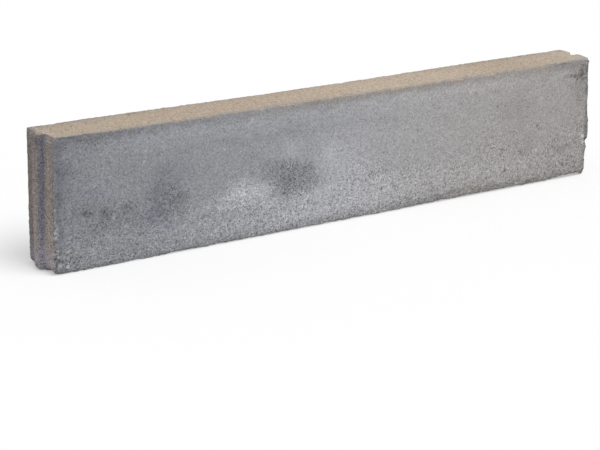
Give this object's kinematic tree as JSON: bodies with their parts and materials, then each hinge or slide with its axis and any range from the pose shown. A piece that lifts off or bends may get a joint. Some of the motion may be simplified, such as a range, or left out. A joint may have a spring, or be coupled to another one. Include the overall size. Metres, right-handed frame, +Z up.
{
  "type": "concrete kerb stone",
  "caption": "Straight pressed concrete edging kerb standing on its long narrow foot, with an upright tongue on one end and a matching groove on the other.",
  "frame": {"origin": "centre of the foot, at the bottom centre of the bounding box, tongue included", "axes": "+X along the length from the tongue end to the groove end, +Y through the thickness from the front face to the back face, +Z up"},
  "size_m": [1.009, 0.08, 0.2],
  "materials": {
    "concrete": "matte"
  },
  "bodies": {
    "root": {"kerb_stone": "concrete"}
  },
  "joints": []
}
